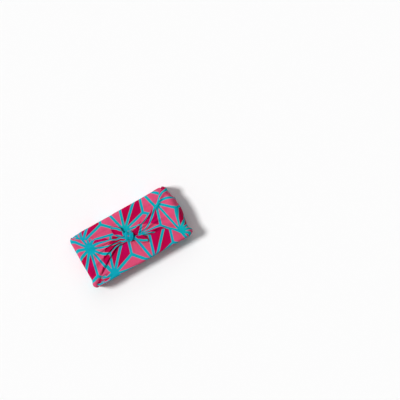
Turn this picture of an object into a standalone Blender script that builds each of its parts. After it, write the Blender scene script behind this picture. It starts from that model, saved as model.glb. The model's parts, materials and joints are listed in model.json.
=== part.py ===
"""A furoshiki wrap: one square cotton cloth folded into a flat parcel and tied over it with a square knot.

The cloth lies cornerwise. Its front corner goes over the top and down the back, its two end corners
come up over the top as pleated flaps, and their tips are knotted in the middle and end in two tails.
X runs along the wrap, Y from front to back and Z up, with the origin in the middle of the flat base.
Every size is in millimetres until add_mesh turns it into metres.
"""

import math

import bmesh
import bpy
import numpy as np

METRES = 0.001

LENGTH = 252.0
WIDTH = 132.0
HEIGHT = 50.0
CORNER_RADIUS = 10.0
TOP_RADIUS = 6.0
FOOT_RADIUS = 4.0
CROWN = 1.2

# How finely the body is divided.
CORNER_STEPS = 5
LONG_STEPS = 18
SHORT_STEPS = 10
EDGE_STEPS = 3
TOP_RINGS = 5

# The body's upright sides: height above the base, and how far the cloth stands out or draws in.
SIDE_HEIGHT = (10.0, 20.0, 32.0, 40.0)
SIDE_SWELL = (0.5, 1.0, 0.9, 0.4)

# The flaps are sunk this deep in the body, and their rolled edges are this wide.
SUNK = 3.0
ROLL = 5.0
FLAP_COLUMNS = 32
FLAP_START = 12.0
TOP_STEP = 5.2
WALL_STEP = 7.0
MERGE_RUN = 14.0
FADE_RUN = 12.0

# Distances along the cloth from the start of a rounded top edge: down the upright side, and from
# there to where the cloth has turned most of the way under the foot.
SIDE_DROP = HEIGHT - TOP_RADIUS - FOOT_RADIUS
TOP_ARC = TOP_RADIUS * math.pi / 2
FOOT_ARC = FOOT_RADIUS * math.pi / 2
EDGE_END = TOP_ARC + SIDE_DROP + 0.72 * FOOT_ARC
FLAP_END = LENGTH / 2 - TOP_RADIUS + EDGE_END

# A flap from the knot outwards. Column path is the distance from the knot's centre along the top,
# front and back are the two rolled edges' distances across, and lift is the cloth's rise there.
FLAP_COLUMN_NAMES = ("path", "front", "back", "lift")
LEFT_FLAP = (
    (12.0, -6.1, 4.9, 6.0),
    (20.0, -7.1, 10.4, 5.5),
    (30.0, -6.1, 18.4, 4.2),
    (38.0, -6.6, 23.4, 3.4),
    (50.0, -13.1, 27.4, 2.8),
    (64.0, -21.1, 30.9, 2.3),
    (78.0, -30.1, 36.4, 2.0),
    (93.0, -39.3, 44.4, 1.8),
    (106.0, -48.1, 52.9, 1.6),
    (119.0, -57.5, 63.0, 1.5),
    (128.0, -65.0, 66.5, 1.5),
    (FLAP_END, -67.0, 67.5, 1.4),
)
RIGHT_FLAP = (
    (12.0, -0.1, 11.9, 6.0),
    (22.0, -8.5, 13.9, 5.4),
    (36.0, -15.1, 18.9, 4.2),
    (50.0, -19.1, 23.4, 3.4),
    (64.0, -18.6, 26.9, 2.8),
    (78.0, -21.6, 31.9, 2.4),
    (91.0, -30.1, 37.4, 2.1),
    (102.0, -42.1, 46.9, 1.9),
    (110.0, -53.1, 55.9, 1.8),
    (119.0, -61.0, 62.5, 1.7),
    (128.0, -67.5, 66.0, 1.6),
    (FLAP_END, -67.5, 67.5, 1.5),
)

# The pleats that fan out from the knot. Place across the flap runs from -1 at the front edge to 1
# at the back edge, near and far are at the knot and at the end, and width is in the same measure.
PLEAT_COLUMN_NAMES = ("near", "far", "height", "far_height", "width", "start", "stop")
LEFT_PLEATS = (
    (0.80, 0.90, 1.8, 0.5, 0.14, 16.0, 150.0),
    (0.42, 0.60, 3.0, 0.6, 0.14, 14.0, 118.0),
    (0.02, 0.16, 3.8, 0.5, 0.14, 12.0, 104.0),
    (-0.42, -0.36, 3.4, 0.7, 0.14, 14.0, 128.0),
    (-0.80, -0.90, 3.4, 1.4, 0.14, 16.0, 152.0),
    (0.21, 0.36, -1.6, -0.2, 0.08, 16.0, 96.0),
    (-0.20, -0.12, -1.8, -0.3, 0.08, 16.0, 110.0),
    (-0.60, -0.68, -2.0, -0.8, 0.08, 16.0, 140.0),
)
RIGHT_PLEATS = (
    (0.84, 0.90, 2.4, 2.4, 0.12, 16.0, 152.0),
    (0.36, 0.30, 2.6, 0.6, 0.14, 14.0, 84.0),
    (-0.10, 0.02, 1.6, 1.6, 0.15, 34.0, 132.0),
    (-0.66, -0.74, 5.6, 2.0, 0.19, 12.0, 152.0),
    (-0.32, -0.36, -2.4, -0.5, 0.10, 20.0, 112.0),
    (0.60, 0.66, -1.6, -0.3, 0.08, 18.0, 110.0),
)

# Where the cloth stands off the end or is pushed out: path and place of the middle, height, and
# the two half sizes. The right end is slack, and its front corner sticks out as an ear.
SWELL_COLUMN_NAMES = ("path", "place", "height", "path_size", "place_size")
LEFT_SWELLS = ((150.0, -0.2, 0.8, 22.0, 0.6),)
RIGHT_SWELLS = (
    (145.0, 0.08, 11.0, 22.0, 0.66),
    (139.0, -0.84, 7.0, 13.0, 0.10),
)

# The tip of the front corner, which hangs down the back. Its hems run slanting, so it narrows by
# TIP_TAPER on each side for every millimetre that it hangs from the start of the top edge's rounding.
TIP_LEFT = -106.0
TIP_RIGHT = 124.0
TIP_WIDEST = 119.0
TIP_TAPER = 1.11
TIP_THICKNESS = 1.4
TIP_START = -24.0
TIP_ROWS = 13
TIP_COLUMNS = 12

# How far the knot's middle lies behind the middle of the wrap.
KNOT_BACK = 2.9

# One strand of the knot, from the left flap to the root of the tail, measured from the knot's
# middle. The other strand is the same turned half round. Width and depth are its half sizes.
STRAND_COLUMN_NAMES = ("x", "y", "z", "width", "depth")
STRAND = (
    (-30.0, 2.5, 52.6, 12.0, 2.6),
    (-21.0, 0.0, 54.0, 8.6, 3.6),
    (-12.0, -2.4, 55.0, 6.0, 4.1),
    (-5.4, -6.4, 55.6, 4.8, 4.1),
    (-1.2, -8.0, 57.6, 4.8, 4.1),
    (1.3, -6.6, 61.0, 5.7, 4.0),
    (4.0, -2.2, 62.8, 6.0, 4.0),
    (6.3, 2.2, 61.2, 5.8, 3.9),
    (5.6, 6.0, 58.4, 4.8, 4.2),
    (0.0, 7.2, 56.4, 4.6, 4.2),
    (-7.4, 8.6, 56.4, 4.8, 3.4),
    (-11.4, 11.0, 57.2, 5.4, 2.4),
)
KNOT_HEART = (0.0, KNOT_BACK, 55.4)
KNOT_HEART_SIZE = (8.6, 9.0, 8.4)
STRAND_STEPS = 40
STRAND_SIDES = 14
STRAND_LOBES = 4
LOBE_DEPTH = 0.10

# A tail: a leaf of cloth from its root in the knot to its point, cupped so that its edges stand up.
# Both are given for the left strand, and the right one is turned half round with its strand.
TAIL_COLUMN_NAMES = ("x", "y", "z", "half_width", "cup")
LEFT_TAIL = (
    (-8.6, 7.4, 56.8, 4.0, 0.8),
    (-11.6, 11.0, 57.2, 6.6, 1.6),
    (-15.6, 16.8, 57.0, 10.6, 3.2),
    (-20.2, 24.2, 56.0, 10.0, 3.2),
    (-24.2, 32.4, 55.2, 6.4, 2.2),
    (-27.0, 38.8, 55.4, 1.4, 0.6),
)
RIGHT_TAIL = (
    (-8.6, 7.4, 56.8, 4.0, 0.8),
    (-12.0, 11.0, 57.2, 6.4, 1.6),
    (-18.0, 15.0, 57.2, 8.2, 3.0),
    (-24.0, 20.6, 56.6, 7.6, 3.0),
    (-28.8, 26.4, 56.2, 4.8, 2.0),
    (-32.4, 31.8, 56.4, 1.2, 0.6),
)
TAIL_ROWS = 12
TAIL_COLUMNS = 8
TAIL_THICKNESS = 2.2

CLOTH_COLOUR = (0.42, 0.05, 0.13, 1.0)
CLOTH_ROUGHNESS = 0.85


def clear_scene():
    for item in list(bpy.data.objects):
        bpy.data.objects.remove(item, do_unlink=True)


def ease(value):
    """A smooth step from 0 at 0 to 1 at 1."""
    value = min(max(value, 0.0), 1.0)
    return value * value * (3.0 - 2.0 * value)


def column(table, names, name):
    return np.array([row[names.index(name)] for row in table])


def smooth_read(at, places, values):
    """Reads a table's column between its rows on a smooth curve with no overshoot."""
    at = min(max(at, places[0]), places[-1])
    step = min(int(np.searchsorted(places, at, side="right")) - 1, len(places) - 2)
    slopes = np.diff(values) / np.diff(places)

    def tangent(index):
        if index == 0 or index == len(slopes):
            return slopes[min(index, len(slopes) - 1)]
        before, after = slopes[index - 1], slopes[index]
        return 0.0 if before * after <= 0 else 2.0 * before * after / (before + after)

    run = places[step + 1] - places[step]
    part = (at - places[step]) / run
    return (
        (1 + 2 * part) * (1 - part) ** 2 * values[step]
        + part * (1 - part) ** 2 * run * tangent(step)
        + part**2 * (3 - 2 * part) * values[step + 1]
        + part**2 * (part - 1) * run * tangent(step + 1)
    )


def table_reader(table, names, key):
    """A function that reads any named column of the table at a place along its key column."""
    places = column(table, names, key)

    def read(name, at):
        return smooth_read(at, places, column(table, names, name))

    return read


def around_corner(inset, across):
    """The plan's right end followed from the middle by a distance across: a point and its normal."""
    radius = CORNER_RADIUS - inset
    straight = WIDTH / 2 - CORNER_RADIUS
    sign = math.copysign(1.0, across)
    beyond = abs(across) - straight
    if beyond <= 0:
        return (LENGTH / 2 - inset, across), (1.0, 0.0)
    turn = min(beyond / CORNER_RADIUS, math.pi / 2)
    past = max(beyond - CORNER_RADIUS * math.pi / 2, 0.0)
    normal = (math.cos(turn), sign * math.sin(turn))
    x = LENGTH / 2 - CORNER_RADIUS + radius * normal[0] - past
    y = sign * straight + radius * normal[1]
    return (x, y), normal


def fold_over(distance):
    """A rounded edge and the side below it, followed by a distance from where the rounding starts.

    It gives how far out that point lies, its height, and the normal's outward and upward parts.
    """
    if distance <= 0:
        return distance, HEIGHT, 0.0, 1.0
    turn = min(distance, TOP_ARC) / TOP_RADIUS
    down = min(max(distance - TOP_ARC, 0.0), SIDE_DROP)
    under = max(distance - TOP_ARC - SIDE_DROP, 0.0) / FOOT_RADIUS
    run = TOP_RADIUS * math.sin(turn) - FOOT_RADIUS * (1 - math.cos(under))
    z = HEIGHT - TOP_RADIUS * (1 - math.cos(turn)) - down - FOOT_RADIUS * math.sin(under)
    return run, z, math.sin(turn + under), math.cos(turn + under)


def skin_point(path, across, lift):
    """A point at a height over the body's skin, right of the knot, by its two distances on the cloth."""
    edge_start = LENGTH / 2 - TOP_RADIUS
    run, z, out, up = fold_over(path - edge_start)
    (x, y), normal = around_corner(TOP_RADIUS - max(run, 0.0), across)
    x += normal[0] * lift * out
    y += normal[1] * lift * out
    z += up * lift
    if path >= edge_start:
        return (x, y, z)
    side = math.copysign(1.0, across)
    run, drop, lean, upright = fold_over(abs(across) - WIDTH / 2 + TOP_RADIUS)
    flat = (path, side * (WIDTH / 2 - TOP_RADIUS + run + lean * lift), drop + upright * lift)
    share = ease((path - edge_start + MERGE_RUN) / MERGE_RUN)
    return tuple(a + (b - a) * share for a, b in zip(flat, (x - edge_start + path, y, z)))


def pleat_height(pleats, path, place):
    """How far the pleats raise the flap at a distance from the knot and a place across it."""
    height = 0.0
    for row in pleats:
        pleat = dict(zip(PLEAT_COLUMN_NAMES, row))
        part = (path - pleat["start"]) / (pleat["stop"] - pleat["start"])
        if not 0 < part < 1:
            continue
        middle = pleat["near"] + (pleat["far"] - pleat["near"]) * part
        rise = pleat["height"] + (pleat["far_height"] - pleat["height"]) * part
        fade = ease(part / 0.12) * ease((1 - part) / 0.25)
        height += rise * fade * math.exp(-(((place - middle) / pleat["width"]) ** 2))
    return height


def swell_height(swells, path, place):
    height = 0.0
    for row in swells:
        swell = dict(zip(SWELL_COLUMN_NAMES, row))
        along = (path - swell["path"]) / swell["path_size"]
        beside = (place - swell["place"]) / swell["place_size"]
        height += swell["height"] * math.exp(-(along**2) - beside**2)
    return height


def flap_stations():
    """Distances from the knot at which a flap gets a row of points."""
    top = list(np.arange(FLAP_START, LENGTH / 2 - TOP_RADIUS, TOP_STEP))
    edge = [LENGTH / 2 - TOP_RADIUS * (1 - step / EDGE_STEPS * math.pi / 2) for step in range(EDGE_STEPS)]
    wall = list(np.arange(edge[-1] + WALL_STEP / 2, FLAP_END - 2.0, WALL_STEP)) + [FLAP_END - 2.0, FLAP_END]
    return top + edge + wall


def flap_columns():
    """Places across a flap, closer together at its two rolled edges."""
    return [math.sin(math.pi / 2 * (2 * step / FLAP_COLUMNS - 1)) for step in range(FLAP_COLUMNS + 1)]


def flap_grids(table, pleats, swells, side):
    """The upper and the sunk lower grid of points of one flap."""
    read = table_reader(table, FLAP_COLUMN_NAMES, "path")
    upper, lower = [], []
    for path in flap_stations():
        front, back = read("front", path), read("back", path)
        lift = read("lift", path)
        over, under = [], []
        for place in flap_columns():
            across = (front + back) / 2 + place * (back - front) / 2
            from_edge = (1 - abs(place)) * (back - front) / 2
            rounding = math.sqrt(max(1 - (1 - min(from_edge / ROLL, 1.0)) ** 2, 0.0))
            relief = pleat_height(pleats, path, place) + swell_height(swells, path, place)
            fade = 0.08 + 0.92 * ease((FLAP_END - path) / FADE_RUN)
            rise = (lift + relief) * (0.25 + 0.75 * rounding) * fade
            over.append(skin_point(path, across, rise))
            under.append(skin_point(path, across, -SUNK))
        upper.append(over)
        lower.append(under)
    turn = np.array((side, 1.0, 1.0))
    return np.array(upper) * turn, np.array(lower) * turn


def tip_grids():
    """The front corner's tip on the back: a sheet that narrows as it hangs down the back side."""
    upper, lower = [], []
    for row in range(TIP_ROWS + 1):
        distance = TIP_START + (EDGE_END - TIP_START) * row / TIP_ROWS
        run, z, lean, upright = fold_over(distance)
        fade = ease((distance - TIP_START) / FADE_RUN) * ease((EDGE_END - distance) / FADE_RUN)
        rise = TIP_THICKNESS * (0.1 + 0.9 * fade)
        y = WIDTH / 2 - TOP_RADIUS + run
        over, under = [], []
        left = max(TIP_LEFT + distance * TIP_TAPER, -TIP_WIDEST)
        right = min(TIP_RIGHT - distance * TIP_TAPER, TIP_WIDEST)
        for step in range(TIP_COLUMNS + 1):
            x = left + (right - left) * step / TIP_COLUMNS
            over.append((x, y + lean * rise, z + upright * rise))
            under.append((x, y - lean * SUNK, z - upright * SUNK))
        upper.append(over)
        lower.append(under)
    return np.array(upper), np.array(lower)


def about_knot(points, side):
    """The left strand's points in place, or with side -1 turned half round for the right strand."""
    return np.array(points) * (side, side, 1.0) + (0.0, KNOT_BACK, 0.0)


def tail_grids(table, side):
    """The upper and lower grids of a cupped tail."""
    places = np.linspace(0.0, 1.0, len(table))
    read = {
        name: (lambda at, values=column(table, TAIL_COLUMN_NAMES, name): smooth_read(at, places, values))
        for name in TAIL_COLUMN_NAMES
    }
    upper, lower = [], []
    for row in range(TAIL_ROWS + 1):
        at = row / TAIL_ROWS
        middle = np.array([read[name](at) for name in ("x", "y", "z")])
        ahead = np.array([read[name](min(at + 0.04, 1.0)) for name in ("x", "y", "z")])
        behind = np.array([read[name](max(at - 0.04, 0.0)) for name in ("x", "y", "z")])
        along = (ahead - behind) / np.linalg.norm(ahead - behind)
        beside = np.cross(along, (0.0, 0.0, 1.0))
        beside /= np.linalg.norm(beside)
        up = np.cross(beside, along)
        over, under = [], []
        for step in range(TAIL_COLUMNS + 1):
            place = 2 * step / TAIL_COLUMNS - 1
            point = middle + beside * place * read["half_width"](at) + up * read["cup"](at) * place**2
            over.append(point + up * TAIL_THICKNESS / 2)
            under.append(point - up * TAIL_THICKNESS / 2)
        upper.append(over)
        lower.append(under)
    return about_knot(upper, side), about_knot(lower, side)


def body_outline(inset, swell):
    """Points round the plan, anticlockwise from the right end's front corner."""
    half_x = LENGTH / 2 - CORNER_RADIUS
    half_y = WIDTH / 2 - CORNER_RADIUS
    radius = CORNER_RADIUS - inset + swell
    points = []
    corners = ((half_x, -half_y, 270), (half_x, half_y, 0), (-half_x, half_y, 90), (-half_x, -half_y, 180))
    for index, (x, y, start) in enumerate(corners):
        arc = []
        for step in range(CORNER_STEPS + 1):
            angle = math.radians(start + 90 * step / CORNER_STEPS)
            arc.append((x + radius * math.cos(angle), y + radius * math.sin(angle)))
        next_x, next_y, next_start = corners[(index + 1) % 4]
        angle = math.radians(next_start)
        end = (next_x + radius * math.cos(angle), next_y + radius * math.sin(angle))
        steps = SHORT_STEPS if index % 2 == 0 else LONG_STEPS
        for step in range(1, steps):
            share = step / steps
            arc.append(tuple(a + (b - a) * share for a, b in zip(arc[CORNER_STEPS], end)))
        points += arc
    return points


def body_rings():
    """The body's rings of points from the flat base up its sides and in over the top."""
    rings = []
    for step in range(EDGE_STEPS + 1):
        turn = math.pi / 2 * step / EDGE_STEPS
        inset = FOOT_RADIUS * (1 - math.sin(turn))
        z = FOOT_RADIUS * (1 - math.cos(turn))
        rings.append([(x, y, z) for x, y in body_outline(inset, 0.0)])
    for z, swell in zip(SIDE_HEIGHT, SIDE_SWELL):
        rings.append([(x, y, z) for x, y in body_outline(0.0, swell)])
    for step in range(EDGE_STEPS + 1):
        turn = math.pi / 2 * step / EDGE_STEPS
        inset = TOP_RADIUS * (1 - math.cos(turn))
        z = HEIGHT - TOP_RADIUS * (1 - math.sin(turn))
        rings.append([(x, y, z) for x, y in body_outline(inset, 0.0)])
    rim = body_outline(TOP_RADIUS, 0.0)
    for step in range(1, TOP_RINGS):
        share = 1 - step / TOP_RINGS
        z = HEIGHT + CROWN * (1 - share**2)
        rings.append([(x * share, y * share, z) for x, y in rim])
    return rings


def add_mesh(name, mesh):
    """Makes an object of a bmesh in millimetres, with its faces turned outwards."""
    bmesh.ops.scale(mesh, vec=(METRES, METRES, METRES), verts=mesh.verts)
    bmesh.ops.recalc_face_normals(mesh, faces=mesh.faces)
    data = bpy.data.meshes.new(name)
    mesh.to_mesh(data)
    mesh.free()
    piece = bpy.data.objects.new(name, data)
    bpy.context.scene.collection.objects.link(piece)
    return piece


def join_ring(mesh, first, second):
    count = len(first)
    for index in range(count):
        after = (index + 1) % count
        mesh.faces.new((first[index], first[after], second[after], second[index]))


def make_body(name):
    mesh = bmesh.new()
    rings = [[mesh.verts.new(point) for point in ring] for ring in body_rings()]
    for first, second in zip(rings, rings[1:]):
        join_ring(mesh, first, second)
    mesh.faces.new(rings[0])
    crest = mesh.verts.new((0.0, 0.0, HEIGHT + CROWN))
    last = rings[-1]
    for index, vertex in enumerate(last):
        mesh.faces.new((vertex, last[(index + 1) % len(last)], crest))
    return add_mesh(name, mesh)


def make_slab(name, grids):
    """A closed piece between an upper and a lower grid of points."""
    upper, lower = grids
    rows, columns = upper.shape[:2]
    mesh = bmesh.new()
    tops = [[mesh.verts.new(point) for point in row] for row in upper]
    feet = [[mesh.verts.new(point) for point in row] for row in lower]
    for row in range(rows - 1):
        for step in range(columns - 1):
            for grid in (tops, feet):
                corners = (grid[row][step], grid[row][step + 1], grid[row + 1][step + 1], grid[row + 1][step])
                mesh.faces.new(corners)
    rim = [(0, step) for step in range(columns)]
    rim += [(row, columns - 1) for row in range(1, rows)]
    rim += [(rows - 1, step) for step in range(columns - 2, -1, -1)]
    rim += [(row, 0) for row in range(rows - 2, 0, -1)]
    join_ring(mesh, [tops[r][c] for r, c in rim], [feet[r][c] for r, c in rim])
    return add_mesh(name, mesh)


def strand_rings(side):
    """Rings round one strand of the knot, lobed like gathered cloth."""
    places = np.linspace(0.0, 1.0, len(STRAND))

    def read(names, at):
        return np.array(
            [smooth_read(at, places, column(STRAND, STRAND_COLUMN_NAMES, name)) for name in names]
        )

    rings = []
    for step in range(STRAND_STEPS + 1):
        at = step / STRAND_STEPS
        middle = read(("x", "y", "z"), at)
        ahead = read(("x", "y", "z"), min(at + 0.02, 1.0))
        behind = read(("x", "y", "z"), max(at - 0.02, 0.0))
        along = (ahead - behind) / np.linalg.norm(ahead - behind)
        beside = np.cross(along, (0.0, 0.0, 1.0))
        beside /= np.linalg.norm(beside)
        up = np.cross(beside, along)
        width, depth = read(("width", "depth"), at)
        ring = []
        for index in range(STRAND_SIDES):
            angle = 2 * math.pi * index / STRAND_SIDES
            lobe = 1 - LOBE_DEPTH * (0.5 - 0.5 * math.cos(STRAND_LOBES * angle))
            ring.append(middle + lobe * (beside * width * math.cos(angle) + up * depth * math.sin(angle)))
        rings.append(about_knot(ring, side))
    return rings


def make_strand(name, side):
    mesh = bmesh.new()
    rings = [[mesh.verts.new(point) for point in ring] for ring in strand_rings(side)]
    for first, second in zip(rings, rings[1:]):
        join_ring(mesh, first, second)
    mesh.faces.new(rings[0])
    mesh.faces.new(rings[-1])
    return add_mesh(name, mesh)


def make_heart(name):
    """The cloth pressed together inside the knot, between its strands."""
    mesh = bmesh.new()
    bmesh.ops.create_uvsphere(mesh, u_segments=16, v_segments=8, radius=1.0)
    bmesh.ops.scale(mesh, vec=KNOT_HEART_SIZE, verts=mesh.verts)
    bmesh.ops.translate(mesh, vec=KNOT_HEART, verts=mesh.verts)
    return add_mesh(name, mesh)


def cloth_material():
    material = bpy.data.materials.new("printed cotton")
    material.use_nodes = True
    shader = material.node_tree.nodes["Principled BSDF"]
    shader.inputs["Base Color"].default_value = CLOTH_COLOUR
    shader.inputs["Roughness"].default_value = CLOTH_ROUGHNESS
    shader.inputs["Metallic"].default_value = 0.0
    return material


def unite(body, parts):
    """Joins the folds to the body, so that the cloth is one closed piece."""
    for part in parts:
        part.hide_render = True
        part.display_type = "WIRE"
        join = body.modifiers.new(part.name, "BOOLEAN")
        join.operation = "UNION"
        join.solver = "EXACT"
        join.use_self = True
        join.object = part


def main():
    clear_scene()
    body = make_body("wrap")
    parts = [
        make_slab("back tip", tip_grids()),
        make_slab("left flap", flap_grids(LEFT_FLAP, LEFT_PLEATS, LEFT_SWELLS, -1.0)),
        make_slab("right flap", flap_grids(RIGHT_FLAP, RIGHT_PLEATS, RIGHT_SWELLS, 1.0)),
        make_heart("knot heart"),
        make_strand("left strand", 1.0),
        make_strand("right strand", -1.0),
        make_slab("left tail", tail_grids(LEFT_TAIL, 1.0)),
        make_slab("right tail", tail_grids(RIGHT_TAIL, -1.0)),
    ]
    unite(body, parts)
    body.data.materials.append(cloth_material())
    body.data.shade_smooth()


main()
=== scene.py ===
"""The finished look of the furoshiki wrap: its printed cotton cloth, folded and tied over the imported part."""

import json
import math

import bmesh
import bpy
import numpy as np
from bpy.props import FloatProperty, FloatVectorProperty, PointerProperty
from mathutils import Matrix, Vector, noise

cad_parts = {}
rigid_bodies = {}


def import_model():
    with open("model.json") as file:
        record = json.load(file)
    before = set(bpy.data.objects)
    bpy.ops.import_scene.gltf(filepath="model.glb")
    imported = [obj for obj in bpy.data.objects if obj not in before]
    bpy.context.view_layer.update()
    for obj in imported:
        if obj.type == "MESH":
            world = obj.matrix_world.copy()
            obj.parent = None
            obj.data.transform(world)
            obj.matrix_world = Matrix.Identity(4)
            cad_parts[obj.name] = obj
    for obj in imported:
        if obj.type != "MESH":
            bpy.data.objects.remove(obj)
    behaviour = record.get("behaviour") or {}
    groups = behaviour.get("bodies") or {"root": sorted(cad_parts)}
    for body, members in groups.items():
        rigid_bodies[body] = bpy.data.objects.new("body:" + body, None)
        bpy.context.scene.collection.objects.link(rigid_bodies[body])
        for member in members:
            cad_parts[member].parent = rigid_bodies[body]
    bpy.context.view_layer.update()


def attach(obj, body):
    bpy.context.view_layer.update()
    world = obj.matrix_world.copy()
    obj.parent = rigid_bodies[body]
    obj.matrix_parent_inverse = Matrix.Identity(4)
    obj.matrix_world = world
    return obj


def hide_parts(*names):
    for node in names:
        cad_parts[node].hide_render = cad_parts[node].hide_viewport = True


bl_info = {
    "name": "Furoshiki wrap",
    "version": (1, 0, 0),
    "blender": (4, 5, 0),
    "location": "3D View > Sidebar > Furoshiki",
    "description": "Folds a square printed cloth round a flat block and ties it on top",
    "category": "Object",
}

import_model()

MM = 0.001
PIECE = "furoshiki_cloth"

# The square cloth, in millimetres as all that follows. It is laid cornerwise, so its rows run at 45
# degrees to the wrap, whose own directions are called along, from left to right, and across.
CLOTH_SIDE = 500.0
HALF_TURN = math.sqrt(0.5)
CLOTH_REACH = CLOTH_SIDE / 2 / HALF_TURN

# Where the cloth lies on the top and the front: for a place from front to back, the cloth's
# distances along and across from its middle at x = 0, and how they grow with x.
PANEL_COLUMNS = ("y", "along", "scale", "across", "skew")
PANEL = (
    (-60.0, -10.8, 0.90, -140.9, 0.036),
    (0.0, -12.8, 0.90, -190.7, 0.030),
    (20.0, -8.0, 0.89, -212.6, 0.010),
    (60.0, -8.0, 0.89, -250.0, 0.010),
)

# Where the cloth's middle lies under the base, and how much cloth lies in each millimetre across.
BASE_ALONG = -2.4
BASE_ACROSS = -19.1
BASE_SCALE = 1.066

# A flap from the knot outwards. Column path is the distance from the wrap's middle over the top and
# down the end, front and back are its two rolled edges, and lift is the cloth's rise there. Along is
# the cloth's distance from its middle, middle is its distance across at y = 0, and gather is how
# much cloth lies in each millimetre across.
FLAP_COLUMNS = ("path", "front", "back", "lift", "along", "middle", "gather")
LEFT_FLAP = (
    (12.0, -6.1, 4.9, 6.0, 295.5, -35.8, 2.60),
    (20.0, -7.1, 10.4, 5.5, 287.5, -35.8, 2.60),
    (30.0, -6.1, 18.4, 4.2, 277.5, -35.7, 2.54),
    (38.0, -6.6, 23.4, 3.4, 269.6, -35.1, 2.34),
    (50.0, -13.1, 27.4, 2.8, 257.6, -33.8, 1.90),
    (64.0, -21.1, 30.9, 2.3, 243.5, -32.0, 1.34),
    (78.0, -30.1, 36.4, 2.0, 229.4, -29.0, 0.92),
    (93.0, -39.3, 44.4, 1.8, 214.2, -29.0, 0.80),
    (106.0, -48.1, 52.9, 1.6, 201.1, -29.7, 0.79),
    (119.0, -57.5, 63.0, 1.5, 188.0, -30.0, 0.79),
    (128.0, -65.0, 66.5, 1.5, 179.0, -28.0, 0.84),
    (175.0, -67.0, 67.5, 1.4, 132.0, -19.1, 1.06),
)
RIGHT_FLAP = (
    (12.0, -0.1, 11.9, 6.0, 290.3, -35.8, 2.60),
    (22.0, -8.5, 13.9, 5.4, 280.3, -35.8, 2.60),
    (36.0, -15.1, 18.9, 4.2, 266.3, -35.3, 2.40),
    (50.0, -19.1, 23.4, 3.4, 252.3, -33.8, 1.90),
    (64.0, -18.6, 26.9, 2.8, 238.3, -32.2, 1.36),
    (78.0, -21.6, 31.9, 2.4, 226.0, -29.4, 1.05),
    (91.0, -30.1, 37.4, 2.1, 213.0, -27.9, 0.98),
    (102.0, -42.1, 46.9, 1.9, 200.5, -30.5, 0.98),
    (110.0, -53.1, 55.9, 1.8, 191.5, -32.5, 0.98),
    (119.0, -61.0, 62.5, 1.7, 181.3, -34.0, 0.98),
    (128.0, -67.5, 66.0, 1.6, 172.0, -32.0, 1.00),
    (175.0, -67.5, 67.5, 1.5, 126.0, -19.1, 1.06),
)

# The pleats that fan out from the knot, and the hollows between them. Place runs from -1 at the front
# edge to 1 at the back edge, near and far are the places at the knot and at the end, and lean pushes
# the crest sideways over its neighbour.
PLEAT_COLUMNS = ("near", "far", "height", "far_height", "width", "start", "stop", "lean")
LEFT_PLEATS = (
    (0.80, 0.90, 1.8, 0.5, 0.13, 16.0, 150.0, 0.6),
    (0.42, 0.60, 3.8, 1.0, 0.11, 14.0, 122.0, -2.0),
    (0.02, 0.16, 5.4, 1.2, 0.11, 12.0, 120.0, -2.8),
    (-0.42, -0.36, 5.4, 1.5, 0.11, 14.0, 134.0, -2.6),
    (-0.80, -0.90, 5.6, 3.2, 0.12, 16.0, 162.0, -1.8),
    (0.20, 0.34, -3.0, -0.4, 0.06, 16.0, 100.0, 0.0),
    (-0.20, -0.12, -4.4, -0.8, 0.06, 16.0, 122.0, 0.0),
    (-0.62, -0.70, -4.6, -1.6, 0.06, 16.0, 146.0, 0.0),
    (0.62, 0.74, -1.8, -0.3, 0.05, 16.0, 110.0, 0.0),
)
RIGHT_PLEATS = (
    (0.84, 0.90, 2.4, 2.6, 0.10, 16.0, 152.0, 0.8),
    (0.36, 0.30, 2.6, 0.6, 0.12, 14.0, 84.0, 1.2),
    (-0.10, 0.02, 1.6, 1.6, 0.13, 34.0, 132.0, 0.6),
    (-0.68, -0.76, 6.4, 2.2, 0.15, 12.0, 152.0, -3.4),
    (-0.34, -0.38, -5.2, -1.0, 0.12, 20.0, 112.0, 0.0),
    (0.60, 0.66, -2.2, -0.3, 0.06, 18.0, 110.0, 0.0),
    (0.12, 0.16, -2.2, -0.3, 0.05, 16.0, 92.0, 0.0),
    (0.66, 0.76, -0.5, -3.2, 0.06, 84.0, 150.0, 0.0),
    (0.40, 0.46, 0.0, 2.4, 0.07, 96.0, 168.0, 0.0),
    (0.56, 0.60, 0.0, -2.0, 0.05, 96.0, 160.0, 0.0),
    (0.22, 0.26, 0.0, -1.8, 0.06, 96.0, 160.0, 0.0),
)

# Where the cloth stands off the end or is pushed out. The right end is slack, with an ear in front.
SWELL_COLUMNS = ("path", "place", "height", "path_size", "place_size")
LEFT_SWELLS = ((150.0, -0.2, 0.8, 22.0, 0.6),)
RIGHT_SWELLS = (
    (145.0, 0.08, 11.0, 22.0, 0.66),
    (139.0, -0.84, 7.0, 13.0, 0.10),
)

# How far the knot's middle lies behind the middle of the wrap.
KNOT_BACK = 2.9

# One strand of the knot from a flap to the root of its tail, in the left strand's place and measured
# from the knot's middle. The right strand is the same turned half round.
STRAND_COLUMNS = ("x", "y", "z", "width", "depth")
STRAND = (
    (-30.0, 2.5, 52.6, 12.0, 2.6),
    (-21.0, 0.0, 54.0, 8.6, 3.6),
    (-12.0, -2.4, 55.0, 6.0, 4.1),
    (-5.4, -6.4, 55.6, 4.8, 4.1),
    (-1.2, -8.0, 57.6, 4.8, 4.1),
    (1.3, -6.6, 61.0, 5.7, 4.0),
    (4.0, -2.2, 62.8, 6.0, 4.0),
    (6.3, 2.2, 61.2, 5.8, 3.9),
    (5.6, 6.0, 58.4, 4.8, 4.2),
    (0.0, 7.2, 56.4, 4.6, 4.2),
    (-7.4, 8.6, 56.4, 4.8, 3.4),
    (-11.4, 11.0, 57.2, 5.4, 2.4),
)

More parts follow.
